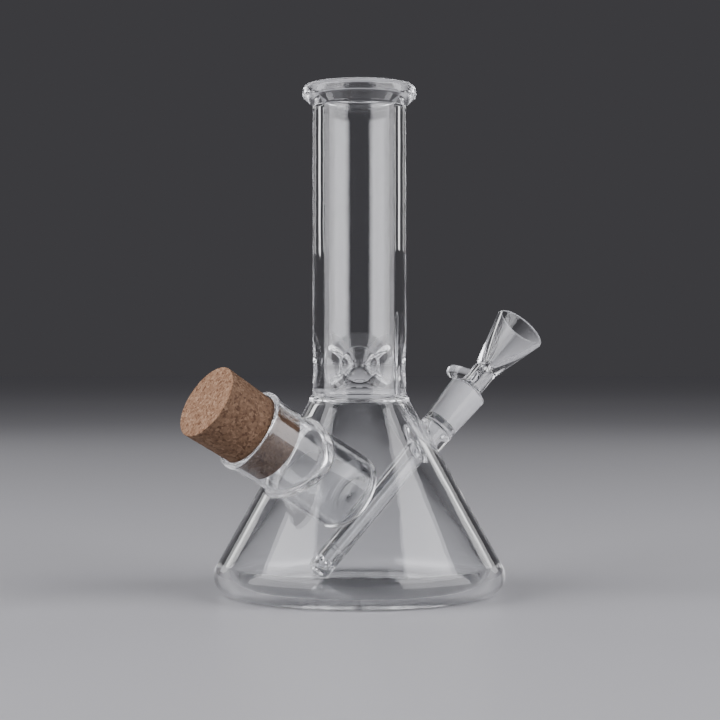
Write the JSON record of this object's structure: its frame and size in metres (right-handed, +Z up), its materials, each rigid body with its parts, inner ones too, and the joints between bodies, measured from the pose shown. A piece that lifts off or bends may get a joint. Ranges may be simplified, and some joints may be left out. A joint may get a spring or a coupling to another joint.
{
  "type": "beaker-base glass water pipe",
  "caption": "Clear glass beaker-base water pipe with a straight ice-pinched neck, a corked side jar, a ground socket, a downstem and a removable funnel bowl.",
  "frame": {"origin": "centre of the underside of the beaker base, on the table", "axes": "+Z up the neck's axis; the jar leans out to -X -Y (front left), the ground socket and bowl to +X +Y (back right)"},
  "size_m": [0.1621, 0.1308, 0.2286],
  "materials": {
    "clear_glass": "clear fire-polished borosilicate",
    "ground_glass": "frosted, ground inside",
    "bowl_glass": "clear fire-polished borosilicate, ground taper on the stem",
    "cork": "agglomerated cork granules, unsealed"
  },
  "bodies": {
    "glass_body": {"beaker_base": "clear_glass", "beaker_wall": "clear_glass", "neck_seal": "clear_glass", "ice_pinch_section": "clear_glass", "neck_tube": "clear_glass", "mouthpiece_lip": "clear_glass", "storage_jar": "clear_glass", "jar_mouth_bead": "clear_glass", "jar_seal": "clear_glass", "joint_socket": "ground_glass", "socket_seal": "clear_glass", "downstem": "clear_glass", "diffuser_tip": "clear_glass"},
    "bowl": {"bowl_stem": "bowl_glass", "bowl_cone": "bowl_glass", "bowl_handle": "bowl_glass"},
    "cork": {"cork_stopper": "cork"}
  },
  "joints": [
    {"name": "bowl_pull", "type": "slide", "parent": "glass_body", "child": "bowl", "axis": [0.6213, 0.2963, 0.7254], "range_m": [0, 0.045]},
    {"name": "cork_pull", "type": "slide", "parent": "glass_body", "child": "cork", "axis": [-0.7112, -0.4888, 0.5053], "range_m": [0, 0.045]}
  ]
}
